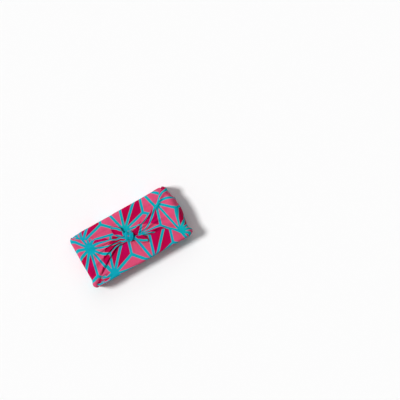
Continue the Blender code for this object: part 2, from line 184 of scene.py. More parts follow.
# The creases that run along a strand: place round it, depth, width and how far they wander.
CREASE_COLUMNS = ("place", "depth", "width", "wander")
CREASES = (
    (-0.47, 0.20, 0.045, 0.04),
    (-0.30, 0.28, 0.040, -0.04),
    (-0.13, 0.34, 0.040, 0.02),
    (0.06, 0.30, 0.035, 0.03),
    (0.24, 0.12, 0.040, -0.02),
    (0.43, 0.06, 0.045, 0.02),
)

# A tail: a leaf of cloth from its root in the knot to its point, cupped so that its edges stand up.
TAIL_COLUMNS = ("x", "y", "z", "half_width", "cup")
LEFT_TAIL = (
    (-11.4, 11.0, 57.2, 6.2, 1.6),
    (-15.6, 16.8, 57.2, 10.8, 3.2),
    (-20.2, 24.2, 56.4, 10.2, 3.4),
    (-24.2, 32.4, 55.6, 6.6, 2.4),
    (-27.2, 39.2, 55.8, 0.8, 0.4),
)
RIGHT_TAIL = (
    (-11.4, 11.0, 57.2, 6.2, 1.6),
    (-18.0, 15.0, 57.4, 8.4, 3.0),
    (-24.0, 20.6, 56.8, 7.8, 3.0),
    (-28.8, 26.4, 56.4, 5.0, 2.0),
    (-32.8, 32.2, 56.6, 0.8, 0.4),
)

# Soft creases in the cloth over the top, round the knot: bearing from the knot in degrees,
# length, height and width in degrees.
TOP_CREASE_COLUMNS = ("bearing", "length", "height", "width")
TOP_CREASES = (
    (52.0, 40.0, 1.1, 7.0),
    (74.0, 56.0, 0.9, 6.0),
    (98.0, 48.0, 1.2, 7.0),
    (128.0, 44.0, 1.0, 6.0),
    (226.0, 46.0, 1.0, 7.0),
    (252.0, 60.0, 0.9, 6.0),
    (281.0, 50.0, 1.1, 7.0),
    (312.0, 42.0, 1.0, 6.0),
)

# Soft folds in the long sides: middle along the side at mid height, slant per unit of height,
# height and width. Pulled cloth slants towards the nearest corner.
SIDE_FOLD_COLUMNS = ("along", "slant", "height", "width")
FRONT_FOLDS = (
    (-104.0, -0.55, 1.0, 5.0),
    (-92.0, -0.35, -0.6, 4.0),
    (-38.0, -0.10, 0.5, 9.0),
    (24.0, 0.12, 0.5, 10.0),
    (88.0, 0.40, -0.7, 4.0),
    (101.0, 0.60, 1.1, 5.0),
)
BACK_FOLDS = (
    (-102.0, -0.60, 1.0, 5.0),
    (-90.0, -0.40, -0.6, 4.0),
    (-20.0, -0.08, 0.5, 9.0),
    (46.0, 0.10, 0.5, 10.0),
    (91.0, 0.45, -0.7, 4.0),
    (104.0, 0.55, 1.0, 5.0),
)

# The folds where the front left corner's spare cloth is tucked in, along the front edge: distance out
# from where the edge starts to round, height, width, and how much cloth each takes in.
CORNER_FOLD_COLUMNS = ("out", "height", "width", "taken")
CORNER_FOLDS = (
    (-14.0, 1.8, 2.2, 3.0),
    (-9.5, -1.4, 1.8, 0.0),
    (-5.0, 2.2, 2.2, 6.0),
    (-0.5, -1.6, 1.8, 0.0),
    (4.5, 2.0, 2.4, 12.0),
)
CORNER_START = -74.0
CORNER_FULL = -98.0
CORNER_STOP = -127.0

# The steps of the body's net: along each long side, short side and corner, up the foot and the side,
# over the edge, and in over the top, closer where its folds are.
OUTLINE_STEPS = (76, 38, 8)
BASE_SHARES = (0.0, 0.15, 0.35, 0.6, 0.85)
FOOT_STEPS, SIDE_STEPS, EDGE_STEPS, RIM_STEPS, TOP_STEPS = 4, 15, 8, 20, 19
RIM_SHARE = 0.7

# How far down the top's rounding, as a share of its radius, the print changes at the back from the
# front corner's cloth to the back corner's, under the tip.
CHANGE_SHARE = 0.4

# Cloth folded by hand is a little uneven: the wave lengths of it, the fine waves' share and shift,
# and the height over the floor in which it comes in.
BROAD_WAVE = 34.0
FINE_WAVE, FINE_SHARE, FINE_SHIFT = 11.0, 0.45, 90.0
FLOOR_FADE = 12.0

# How far the long sides' folds take to fade, and the corner folds at their outer end.
SIDE_FADE = 14.0
CORNER_FADE = 7.0

# The front corner's tip. It starts sunk in the top, before the back edge, comes out over the fade's
# run, and goes down the back between its hems, which curl up and cover the cloth under them.
TIP_START = -24.0
TIP_WIDEST = 120.0
TIP_SUNK = 0.9
TIP_REST = 0.12
TIP_LIFT = 0.9
TIP_ROWS, TIP_COLUMNS = 44, 90
TIP_WAVE, TIP_WAVE_LENGTH, TIP_WAVE_FADE = 0.5, 17.0, 30.0
HEM_CURL, HEM_CURL_WIDTH = 0.5, 3.0
HEM_COVER = 6.0
FADE_RUN = 12.0

# The back corner's cloth under it: how deep it lies, half its width, and how far it hangs down.
TUCK_DEPTH = 1.3
TUCK_HALF = 112.0
TUCK_DROP = 40.0
TUCK_COLUMNS, TUCK_FALL_ROWS, TUCK_TOP_ROWS = 40, 14, 20

# A flap: how high the cloth turned under its edges lies, how far it goes in and the gap in its middle,
# the least rise of its top and the share of it left at the foot, how far down the foot's rounding it
# reaches, the run in which it takes up the end's rounding, the places where its edges are rolled, and
# the parts of its length in which a pleat rises and fades.
UNDER_LIFT = 0.6
TURN_UNDER, UNDER_GAP = 12.0, 0.3
FOOT_SHARE = 0.08
LEAST_RISE = 1.0
FOOT_REACH = 0.45
MERGE_RUN = 14.0
UNDER_PLACE, ROLL_PLACE = 0.60, 0.46
PLEAT_RISE, PLEAT_FADE = 0.12, 0.25
FLAP_ROW = 1.8

# The neck, where a flap gathers into its strand: its two ends by their path, the place on the strand
# that it ends at, and half the width of its cloth and of the strand's. Within STRAND_TWIST of the way
# the strand has turned so that its middle lies on a star.
NECK_START = 31.0
NECK_STOP = 16.0
NECK_ON_STRAND = 0.15
NECK_HALF = 26.0
STRAND_HALF = 12.0
STRAND_TWIST = 0.5
STAR_ACROSS = 33.0
NECK_ROWS, KNOT_ROWS, TAIL_ROWS = 9, 44, 26

# A tail: by when it has opened from round to flat, its root's depth and share of width, its middle
# fold and its waves. From TAIL_CLOTH of the way on, under the other strand, its cloth runs beside the
# turned hem to the corner.
TAIL_OPEN = 0.4
ROOT_DEPTH, ROOT_SHARE = 2.2, 0.9
TAIL_FOLD, TAIL_FOLD_WIDTH = 2.2, 0.16
TAIL_WAVE = 0.5
TAIL_CLOTH = 0.58
TAIL_REACH = 44.0
TURNED_HEM = 9.0
HEM_END = 3.0

# The patterns' scales, in waves to the metre: a printed line's edge wanders in waves of 4 mm, the dye
# drifts over 45 mm, and a thread is 0.7 mm wide and varies along 25 times that. A real thread is
# about half as wide, too fine to show, so they are drawn as coarse as this.
WANDER_SCALE = 260.0
DRIFT_SCALE = 22.0
THREAD_SCALE, THREAD_STRETCH = 1400.0, 0.04

# The print's second colours, to which the first ones drift over the cloth, and the sewing thread's.
DRIFT_COLOURS = {"line": "#0C9EB4", "deep": "#B80050", "pale": "#D2486A"}
STITCH_COLOUR = "#8E1240"

# In metres: how far a printed line wanders and how soft its edge is, half the seam's width, the
# distance between stitches, and how far past the seam the hem's fold reaches.
LINE_WANDER = 0.0008
LINE_SOFTNESS = 0.0003
SEAM_HALF = 0.0004
STITCH_STEP = 0.0032
STITCH_SHARE = 0.62
HEM_PAST_SEAM = 0.001

# The print and the weave, worked out from a place on the cloth: p and q are its wandering distances
# along and across the print's rows, and u and v are the true ones. Each line has a name, the value that
# it starts from, and what is done to it in turn: an operation, with the names or numbers that it needs.
PRINT_SIDES = ("rows", "rising", "falling")
CLOTH_STEPS = (
    # The place in the triangle between three stars, as its heights over the triangle's sides.
    ("rows", "q", ("DIVIDE", "row_spacing")),
    ("half_rows", "rows", ("MULTIPLY", 0.5)),
    ("stars", "p", ("MULTIPLY_ADD", "per_star", -0.5)),
    ("rising", "stars", ("SUBTRACT", "half_rows")),
    ("falling", "stars", ("MULTIPLY", -1.0), ("SUBTRACT", "half_rows")),
    *[("part_" + side, side, ("FRACT",)) for side in PRINT_SIDES],
    ("points_down", "part_rows", ("ADD", "part_rising"), ("ADD", "part_falling"), ("GREATER_THAN", 1.5)),
    *[("over_" + side, "points_down", ("SUBTRACT", "part_" + side), ("ABSOLUTE",)) for side in PRINT_SIDES],
    # The distance from the nearest line: a side of the triangle, or a spoke from a star to its middle.
    ("nearest", "over_rows", ("MINIMUM", "over_rising"), ("MINIMUM", "over_falling")),
    ("furthest", "over_rows", ("MAXIMUM", "over_rising"), ("MAXIMUM", "over_falling")),
    ("middle", 1.0, ("SUBTRACT", "nearest"), ("SUBTRACT", "furthest")),
    ("to_spoke", "middle", ("SUBTRACT", "nearest"), ("MULTIPLY", 1 / math.sqrt(3))),
    ("to_line", "nearest", ("MINIMUM", "to_spoke"), ("MULTIPLY", "triangle_height")),
    # The fills: deep where the nearest side lies along a row. Beyond the border's inner edge they are
    # deep all over, but pale on every second row at the two ends.
    ("by_row", "over_rows", ("SUBTRACT", "nearest"), ("LESS_THAN", 0.0005)),
    *[("beyond_" + axis, axis, ("ABSOLUTE",), ("GREATER_THAN", "border_inside")) for axis in "pq"],
    ("in_front_corner", "p", ("ADD", "q"), ("LESS_THAN", "front_limit")),
    ("in_border", "beyond_p", ("MAXIMUM", "beyond_q"), ("SUBTRACT", "in_front_corner"), ("MAXIMUM", 0.0)),
    ("even", "rows", ("FLOOR",), ("ADD", "points_down"), ("MULTIPLY", 0.5), ("FRACT",), ("LESS_THAN", 0.25)),
    ("pale_border", "by_row", ("MULTIPLY", "even"), ("MULTIPLY", "beyond_p"), ("MULTIPLY", "in_border")),
    ("deep_border", "in_border", ("SUBTRACT", "pale_border")),
    ("deep_share", 1.0, ("SUBTRACT", "in_border"), ("MULTIPLY", "by_row"), ("MAXIMUM", "deep_border")),
    # The hem's seam, with its stitches.
    *[("size_" + axis, axis, ("ABSOLUTE",)) for axis in "uv"],
    ("to_side", "size_u", ("MAXIMUM", "size_v")),
    ("from_edge", "half_side", ("SUBTRACT", "to_side")),
    ("on_seam", "from_edge", ("SUBTRACT", "hem"), ("ABSOLUTE",), ("LESS_THAN", SEAM_HALF)),
    ("along_edge", "size_u", ("MINIMUM", "size_v")),
    ("in_stitch", "along_edge", ("DIVIDE", STITCH_STEP), ("FRACT",), ("LESS_THAN", STITCH_SHARE)),
    ("stitch", "in_stitch", ("MULTIPLY", "on_seam")),
    # The relief: a bump at each crossing of the threads, the hem's fold higher and its seam pulled in.
    ("uneven", "warp", ("ADD", "weft")),
    *[("wave_" + axis, axis, ("MULTIPLY", "per_thread"), ("SINE",)) for axis in "uv"],
    ("fuzz", "uneven", ("MULTIPLY", 0.00006)),
    ("woven", "wave_u", ("MULTIPLY", "wave_v"), ("MULTIPLY_ADD", 0.00004, "fuzz")),
    ("folded", "from_edge", ("LESS_THAN", "hem_end"), ("MULTIPLY_ADD", 0.0003, "woven")),
    ("relief", "on_seam", ("MULTIPLY_ADD", -0.0003, "folded")),
)

# The colours laid over one another: a name, the share of the second colour, and the two colours.
COLOUR_STEPS = (
    ("line_dye", "drift", "line", "line_drift"),
    ("deep_dye", "drift", "deep", "deep_drift"),
    ("pale_dye", "drift", "pale", "pale_drift"),
    ("fill", "deep_share", "pale_dye", "deep_dye"),
    ("print", "on_line", "fill", "line_dye"),
)

# The width of floor that the camera sees in the frame, in metres, with its distance, place and turn.
VIEW_SPAN = 0.943
VIEW_DISTANCE = 10.0
VIEW_MIDDLE = (0.186, -0.005)
VIEW_TURN = -29.5

# The soft lights: name, direction towards the light, its spread in degrees, and strength. The room's
# own light is even. The floor is wide enough to fill every view.
LIGHTS = (
    ("key", (-1.0, 0.62, 1.55), 14.0, 2.88),
    ("fill", (0.5, 1.0, 1.6), 60.0, 0.42),
)
ROOM_LIGHT = 0.24
FLOOR_SIZE = 12.0


def hex_colour(code):
    """A linear colour from an sRGB hex code."""
    channels = [int(code[start : start + 2], 16) / 255 for start in (1, 3, 5)]
    linear = [c / 12.92 if c <= 0.04045 else ((c + 0.055) / 1.055) ** 2.4 for c in channels]
    return (*linear, 1.0)


def ease(value):
    """A smooth step from 0 at 0 to 1 at 1."""
    value = np.clip(value, 0.0, 1.0)
    return value * value * (3.0 - 2.0 * value)


class Table:
    """A table read between its rows, along its first column or along its rows' own number."""

    def __init__(self, names, rows, by_row=False):
        self.columns = {name: np.array([row[i] for row in rows]) for i, name in enumerate(names)}
        self.places = np.arange(len(rows)) / (len(rows) - 1) if by_row else self.columns[names[0]]
        self.rows = [dict(zip(names, row)) for row in rows]

    def read(self, name, at):
        """The column's value on a smooth curve with no overshoot."""
        places, values = self.places, self.columns[name]
        at = min(max(at, places[0]), places[-1])
        step = min(int(np.searchsorted(places, at, side="right")) - 1, len(places) - 2)
        slopes = np.diff(values) / np.diff(places)
        tangents = [slopes[0], *map(self.tangent, slopes, slopes[1:]), slopes[-1]]
        run = places[step + 1] - places[step]
        part = (at - places[step]) / run
        return (
            (1 + 2 * part) * (1 - part) ** 2 * values[step]
            + part * (1 - part) ** 2 * run * tangents[step]
            + part**2 * (3 - 2 * part) * values[step + 1]
            + part**2 * (part - 1) * run * tangents[step + 1]
        )

    @staticmethod
    def tangent(before, after):
        """The slope at a row between two slopes, level where the column turns back."""
        return 0.0 if before * after <= 0 else 2.0 * before * after / (before + after)

    def point(self, at):
        """The route's point there."""
        return np.array([self.read(name, at) for name in ("x", "y", "z")])

    def frame(self, at, reach=0.02):
        """The route's point, with the directions beside and above it."""
        step = self.point(min(at + reach, 1.0)) - self.point(max(at - reach, 0.0))
        along = step / np.linalg.norm(step)
        beside = np.cross(along, (0.0, 0.0, 1.0))
        beside /= np.linalg.norm(beside)
        return self.point(at), beside, np.cross(beside, along)


class Block:
    """The flat block that the cloth goes round, and points on the cloth over it, in millimetres."""

    def __init__(self, sizes):
        self.length = sizes.length / MM
        self.width = sizes.width / MM
        self.height = sizes.height / MM
        self.corner = sizes.corner_radius / MM
        self.top = sizes.top_radius / MM
        self.foot = sizes.foot_radius / MM
        self.crown = sizes.crown / MM
        self.softness = sizes.softness / MM
        self.top_arc = self.top * math.pi / 2
        self.foot_arc = self.foot * math.pi / 2
        self.drop = self.height - self.top - self.foot
        self.edge_end = self.top_arc + self.drop + FOOT_REACH * self.foot_arc
        self.flap_end = self.length / 2 - self.top + self.edge_end
        self.panel = Table(PANEL_COLUMNS, PANEL)
        self.edge = self.width / 2 - self.top

    def fold_over(self, distance):
        """A rounded top edge and the side below it, by the distance from where the rounding starts.

        It gives how far out the cloth lies, its height, and its normal's outward and upward parts.
        """
        distance = np.asarray(distance, float)
        turn = np.clip(distance, 0.0, self.top_arc) / self.top
        down = np.clip(distance - self.top_arc, 0.0, self.drop)
        under = np.clip(distance - self.top_arc - self.drop, 0.0, self.foot_arc) / self.foot
        run = np.minimum(distance, 0.0) + self.top * np.sin(turn) - self.foot * (1 - np.cos(under))
        z = self.height - self.top * (1 - np.cos(turn)) - down - self.foot * np.sin(under)
        return run, z, np.sin(turn + under), np.cos(turn + under)

    def around_corner(self, inset, across):
        """The right end in plan, followed from its middle by a distance across: place and normal."""
        straight = self.width / 2 - self.corner
        side = np.sign(across)
        beyond = np.abs(across) - straight
        turn = np.clip(beyond / self.corner, 0.0, math.pi / 2)
        past = np.clip(beyond - self.corner * math.pi / 2, 0.0, None)
        radius = self.corner - inset
        x = self.length / 2 - self.corner + radius * np.cos(turn) - past
        y = np.where(beyond > 0, side * (straight + radius * np.sin(turn)), across)
        return x, y, np.cos(turn), side * np.sin(turn)

    def skin(self, path, across, lift):
        """Points at heights over the block's right half, by their distances along and across the cloth."""
        edge_start = self.length / 2 - self.top
        run, z, out, up = self.fold_over(path - edge_start)
        x, y, normal_x, normal_y = self.around_corner(self.top - max(run, 0.0), across)
        base = np.stack([x, y, np.full_like(across, z)], 1)
        normal = np.stack([normal_x * out, normal_y * out, np.full_like(across, up)], 1)
        if path < edge_start:
            side = np.sign(across)
            fall, drop, lean, upright = self.fold_over(np.abs(across) - self.width / 2 + self.top)
            flat_y = side * (self.width / 2 - self.top + fall)
            flat = np.stack([np.full_like(across, path), flat_y, drop], 1)
            flat_normal = np.stack([0 * across, side * lean, upright], 1)
            share = ease((path - edge_start + MERGE_RUN) / MERGE_RUN)
            base[:, 0] += path - edge_start
            base = flat + (base - flat) * share
            normal = flat_normal + (normal - flat_normal) * share
        return self.lifted(base, normal, lift)

    def top_crown(self, x, y):
        """How far the top's middle rises at a place."""
        share = np.maximum(np.abs(x) / (self.length / 2 - self.top), abs(y) / self.edge)
        return self.crown * (1 - share**2)

    def panel_cloth(self, x, y, distance=0.0):
        """The cloth's distances along and across under a point of the top, or past its edge."""
        along = self.panel.read("along", y) + x * self.panel.read("scale", y)
        across = self.panel.read("across", y) + x * self.panel.read("skew", y)
        return along, across + math.copysign(1.0, -y) * distance

    def lifted(self, base, normal, lift):
        """The base points moved out by their lift and by the cloth's own softness."""
        soft = np.array([self.soft(point) for point in base])
        return base + normal * (np.asarray(lift) + soft)[:, None]

    def soft(self, point):
        """A gentle unevenness of cloth that has been folded by hand."""
        x, y, z = (float(value) for value in point)
        broad = noise.noise(Vector((x, y, z)) / BROAD_WAVE)
        fine = noise.noise(Vector((x, y, z + FINE_SHIFT)) / FINE_WAVE)
        near_floor = float(ease((z - 1.0) / FLOOR_FADE))
        return self.softness * (broad + FINE_SHARE * fine) * near_floor


def pleat_relief(pleats, path, place):
    """How far the pleats raise the flap, and how far they push it sideways."""
    height = np.zeros_like(place)
    shift = np.zeros_like(place)
    for pleat in pleats:
        part = (path - pleat["start"]) / (pleat["stop"] - pleat["start"])
        if not 0 < part < 1:
            continue
        middle = pleat["near"] + (pleat["far"] - pleat["near"]) * part
        rise = pleat["height"] + (pleat["far_height"] - pleat["height"]) * part
        fade = ease(part / PLEAT_RISE) * ease((1 - part) / PLEAT_FADE)
        bump = np.exp(-(((place - middle) / pleat["width"]) ** 2))
        height += rise * fade * bump
        shift += pleat["lean"] * fade * (1 - part) * bump
    return height, shift


def swell_relief(swells, path, place):
    """How far the slack cloth stands off the end."""
    height = np.zeros_like(place)
    for swell in swells:
        along = (path - swell["path"]) / swell["path_size"]
        beside = (place - swell["place"]) / swell["place_size"]
        height += swell["height"] * np.exp(-(along**2) - beside**2)
    return height


class Arm:
    """One end corner of the cloth: up the end, over the top, through the knot and out as a tail.

    The side is -1 for the left end and 1 for the right one. A section is a ring of points whose
    places run from -1 round to 1: the cloth turned under, the rolled edge and the cloth over it, and
    the same back again. The three numbers are the points in each.
    """

    UNDER, ROLL, OVER = 6, 5, 50

    def __init__(self, block, side, flap, pleats, swells, tail):
        self.block = block
        self.side = side
        self.turn = np.array((-side, -side, 1.0))
        self.flap = Table(FLAP_COLUMNS, flap)
        self.pleats = Table(PLEAT_COLUMNS, pleats).rows
        self.swells = Table(SWELL_COLUMNS, swells).rows
        self.strand = Table(STRAND_COLUMNS, STRAND, by_row=True)
        self.tail = Table(TAIL_COLUMNS, tail, by_row=True)
        self.creases = Table(CREASE_COLUMNS, CREASES).rows
        under = np.linspace(-1.0, -UNDER_PLACE, self.UNDER, endpoint=False)
        roll = np.linspace(-UNDER_PLACE, -ROLL_PLACE, self.ROLL, endpoint=False)
        over = np.linspace(-ROLL_PLACE, ROLL_PLACE, self.OVER)
        self.places = np.concatenate([under, roll, over, -roll[::-1], -under[::-1]])

    def flap_section(self, path):
        """Points and cloth places across the flap, from under its front edge to under its back edge."""
        front, back = self.flap.read("front", path), self.flap.read("back", path)
        lift = self.flap.read("lift", path)
        fade = FOOT_SHARE + (1 - FOOT_SHARE) * ease((self.block.flap_end - path) / FADE_RUN)
        place = np.linspace(-1.0, 1.0, self.OVER)
        height, shift = pleat_relief(self.pleats, path, place)
        rise = (lift + height + swell_relief(self.swells, path, place)) * fade
        rise = np.maximum(rise, LEAST_RISE)
        across, lifts = [], []
        for edge, edge_rise, inward in ((front, rise[0], 1.0), (back, rise[-1], -1.0)):
            radius = (edge_rise - UNDER_LIFT) / 2
            deep = min(TURN_UNDER, (back - front) / 2 - radius - UNDER_GAP)
            under = np.linspace(deep, 0.0, self.UNDER, endpoint=False)
            angle = np.linspace(-math.pi / 2, math.pi / 2, self.ROLL, endpoint=False)
            bend = radius * (1 - np.cos(angle)) - radius
            across.append(edge + inward * (radius + np.concatenate([under, bend])))
            turned = UNDER_LIFT + radius * (1 + np.sin(angle))
            lifts.append(np.concatenate([np.full(self.UNDER, UNDER_LIFT), turned]))
        left = front + (rise[0] - UNDER_LIFT) / 2
        right = back - (rise[-1] - UNDER_LIFT) / 2
        over = left + (place + 1) / 2 * (right - left) + shift
        across = np.concatenate([across[0], over, across[1][::-1]])
        lifts = np.concatenate([lifts[0], rise, lifts[1][::-1]])
        points = self.block.skin(path, across, lifts) * (self.side, 1.0, 1.0)
        cloth = self.flap.read("middle", path) + across * self.flap.read("gather", path)
        if self.side > 0:
            points, cloth = points[::-1], cloth[::-1]
        return points, cloth

    def crease_depth(self, at):
        """How deep the creases are round the strand, at a place along it."""
        depth = np.zeros_like(self.places)
        for crease in self.creases:
            middle = crease["place"] + crease["wander"] * math.sin(6.0 * at + 9.0 * crease["place"])
            depth += crease["depth"] * np.exp(-(((self.places - middle) / crease["width"]) ** 2))
        return depth

    def ring(self, centre, beside, up, width, depth, creased):
        """An oval ring round a strand, drawn in where it is creased."""
        angle = math.pi / 2 + math.pi * self.places
        size = (1 - creased)[:, None]
        return centre + size * (
            np.outer(width * np.cos(angle), beside) + np.outer(depth * np.sin(angle), up)
        )

    def strand_section(self, at):
        """The strand's section at a share of its length."""
        size = self.strand.read("width", at), self.strand.read("depth", at)
        return self.placed(self.ring(*self.strand.frame(at), *size, self.crease_depth(at)))

    def placed(self, points):
        """The left strand's points put at the knot, turned half round on the right."""
        return points * self.turn + (0.0, KNOT_BACK, 0.0)

    def tail_section(self, at):
        """The tail's section: round at its root, and then an open leaf with raised edges."""
        centre, beside, up = self.tail.frame(at, 0.03)
        half, cup = self.tail.read("half_width", at), self.tail.read("cup", at)
        opened = ease(at / TAIL_OPEN)
        creased = self.crease_depth(1.0 + at * 0.3)
        closed = self.ring(centre, beside, up, half * ROOT_SHARE, ROOT_DEPTH, creased)
        fold = TAIL_FOLD * np.exp(-((self.places / TAIL_FOLD_WIDTH) ** 2)) * (1 - at)
        wave = TAIL_WAVE * np.sin(5.0 * self.places + 6.0 * at) * (1 - at)
        rise = cup * self.places**2 + fold + wave
        leaf = centre + np.outer(-self.places * half, beside) + np.outer(rise, up)
        return self.placed(closed + (leaf - closed) * opened)

    def tail_cloth(self, at):
        """The tail's distances along and across: its hem is turned under, so it runs beside the hem."""
        from_tip = TAIL_REACH * (1 - at)
        half = self.tail.read("half_width", at)
        from_hem = TURNED_HEM + half * (1 + self.places)
        beside_row, along_row = CLOTH_SIDE / 2 - from_hem, CLOTH_SIDE / 2 - HEM_END - from_tip
        along = self.side * (along_row + beside_row) * HALF_TURN
        across = self.side * (beside_row - along_row) * HALF_TURN
        return along, across

    def sections(self):
        """Every section from the foot to the tip, with the cloth's own coordinates."""
        points, cloth = [], []
        first = self.block.flap_end
        for path in np.linspace(first, NECK_START, round((first - NECK_START) / FLAP_ROW)):
            row, across = self.flap_section(path)
            points.append(row)
            cloth.append((np.full_like(across, self.side * self.flap.read("along", path)), across))
        neck_along = self.flap.read("along", NECK_START)
        neck_middle = float(np.median(across))
        total = NECK_ROWS + KNOT_ROWS + TAIL_ROWS
        for step in range(1, total + 1):
            in_neck = step / NECK_ROWS
            in_knot = (step - NECK_ROWS) / KNOT_ROWS
            in_tail = (step - NECK_ROWS - KNOT_ROWS) / TAIL_ROWS
            gathered = ease(in_neck)
            if in_knot <= 0:
                row, across = self.flap_section(NECK_START + (NECK_STOP - NECK_START) * in_neck)
                row = row + (self.strand_section(NECK_ON_STRAND * in_neck) - row) * gathered
            elif in_tail <= 0:
                row = self.strand_section(NECK_ON_STRAND + (1 - NECK_ON_STRAND) * in_knot)
            else:
                row = self.tail_section(in_tail)
            points.append(row)
            if step / total > TAIL_CLOTH:
                cloth.append(self.tail_cloth(in_tail))
                continue
            twist = ease(step / total / STRAND_TWIST)
            middle = neck_middle + (self.side * STAR_ACROSS - neck_middle) * twist
            half = NECK_HALF + (STRAND_HALF - NECK_HALF) * twist
            in_strand = middle + self.turn[0] * self.places * half
            along = self.side * (neck_along + (CLOTH_REACH - neck_along) * step / total)
            cloth.append((np.full_like(across, along), across + (in_strand - across) * gathered))
        return np.array(points), np.moveaxis(np.array(cloth), 1, 2)


def to_print(cloth):
    """Turns distances along and across the wrap into distances along and across the print's rows."""
    along, across = cloth[..., 0], cloth[..., 1]
    return np.stack([(across - along) * HALF_TURN, (across + along) * HALF_TURN], -1)


def grid_faces(rows, columns, closed=False):
    """The four corners' numbers of every face of a grid."""
    row, step = np.meshgrid(np.arange(rows - 1), np.arange(columns if closed else columns - 1), indexing="ij")
    first, after = row * columns, (step + 1) % columns
    faces = [first + step, first + columns + step, first + columns + after, first + after]
    return np.stack([corner.ravel() for corner in faces], 1)


def add_sheet(name, points, cloth, closed=False, other=None, use_other=None):
    """Makes a sheet of a grid of points, with each point's place on the flat cloth as its UV.

    Where the grid crosses from one part of the cloth to another, use_other says by each face's
    middle which of the two sets of places it takes.
    """
    faces = grid_faces(*points.shape[:2], closed)
    flat = points.reshape(-1, 3)
    places = cloth.reshape(-1, 2)[faces]
    if use_other is not None:
        chosen = use_other(flat[faces].mean(axis=1))
        places[chosen] = other.reshape(-1, 2)[faces][chosen]
    mesh = bpy.data.meshes.new(name)
    mesh.from_pydata((flat * MM).tolist(), [], faces.tolist())
    layer = mesh.uv_layers.new(name="cloth")
    layer.uv.foreach_set("vector", (to_print(places) * MM).astype(np.float32).ravel())
    mesh.shade_smooth()
    sheet = bpy.data.objects.new(name, mesh)
    bpy.context.scene.collection.objects.link(sheet)
    return sheet


def select_only(*pieces):
    """Selects these pieces and nothing else, with the first one active."""
    bpy.ops.object.select_all(action="DESELECT")
    for piece in pieces:
        piece.select_set(True)
    bpy.context.view_layer.objects.active = pieces[0]


def close_poles(sheet):
    """Makes one point of each ring that has shrunk to nothing."""
    mesh = bmesh.new()
    mesh.from_mesh(sheet.data)
    bmesh.ops.remove_doubles(mesh, verts=mesh.verts, dist=0.00001)
    mesh.to_mesh(sheet.data)
    mesh.free()


def thicken(sheet, thickness):
    """Gives the sheet the cloth's thickness, inwards from the printed side."""
    select_only(sheet)
    solid = sheet.modifiers.new("cloth", "SOLIDIFY")
    solid.thickness = thickness
    solid.offset = -1.0
    solid.use_rim = True
    bpy.ops.object.modifier_apply(modifier=solid.name)


def body_outline(block, inset, long_steps, short_steps, corner_steps):
    """The plan's outline anticlockwise from the right end's front corner: places and normals."""
    half_x = block.length / 2 - block.corner
    half_y = block.width / 2 - block.corner
    corners = ((half_x, -half_y, 270), (half_x, half_y, 0), (-half_x, half_y, 90), (-half_x, -half_y, 180))
    places, normals = [], []
    for index, (x, y, start) in enumerate(corners):
        for step in range(corner_steps + 1):
            angle = math.radians(start + 90 * step / corner_steps)
            normal = np.array((math.cos(angle), math.sin(angle)))
            places.append(np.array((x, y)) + normal * (block.corner - inset))
            normals.append(normal)
        next_x, next_y, _ = corners[(index + 1) % 4]
        end = np.array((next_x, next_y)) + normals[-1] * (block.corner - inset)
        steps = short_steps if index % 2 == 0 else long_steps
        first = places[-1]
        for step in range(1, steps):
            places.append(first + (end - first) * step / steps)
            normals.append(normals[-1])
    return np.array(places), np.array(normals)


def side_relief(block, x, y, z):
    """How far the long sides' soft folds stand out at a point."""
    if abs(y) < block.width / 2 - block.corner:
        return 0.0
    folds = FRONT_FOLDS if y < 0 else BACK_FOLDS
    height = 0.0
    for row in folds:
        fold = dict(zip(SIDE_FOLD_COLUMNS, row))
        middle = fold["along"] + fold["slant"] * (z - block.height / 2)
        height += fold["height"] * math.exp(-(((x - middle) / fold["width"]) ** 2))
    ends = ease(z / SIDE_FADE) * ease((block.height - z) / SIDE_FADE)
    return height * float(ends)


def top_relief(block, x, y):
    """How far the creases round the knot raise the cloth over the top."""
    reach = math.hypot(x, y)
    bearing = math.degrees(math.atan2(y, x)) % 360
    height = 0.0
    for row in TOP_CREASES:
        crease = dict(zip(TOP_CREASE_COLUMNS, row))
        beside = (bearing - crease["bearing"]) / crease["width"]
        fade = float(ease(1 - reach / crease["length"]))
        height += crease["height"] * fade * math.exp(-(beside**2))
    return height


def corner_folds(x, out):
    """How far the front left corner's folds stand out, and how much cloth they take in up to there."""
    share = ease((CORNER_START - x) / (CORNER_START - CORNER_FULL))
    share *= ease((x - CORNER_STOP) / CORNER_FADE)
    height = taken = 0.0
    for row in CORNER_FOLDS:
        fold = dict(zip(CORNER_FOLD_COLUMNS, row))
        beside = (out - fold["out"]) / fold["width"]
        height += fold["height"] * share * math.exp(-(beside**2))
        taken += fold["taken"] * share * float(ease(0.5 - beside / 2))
    return height, taken


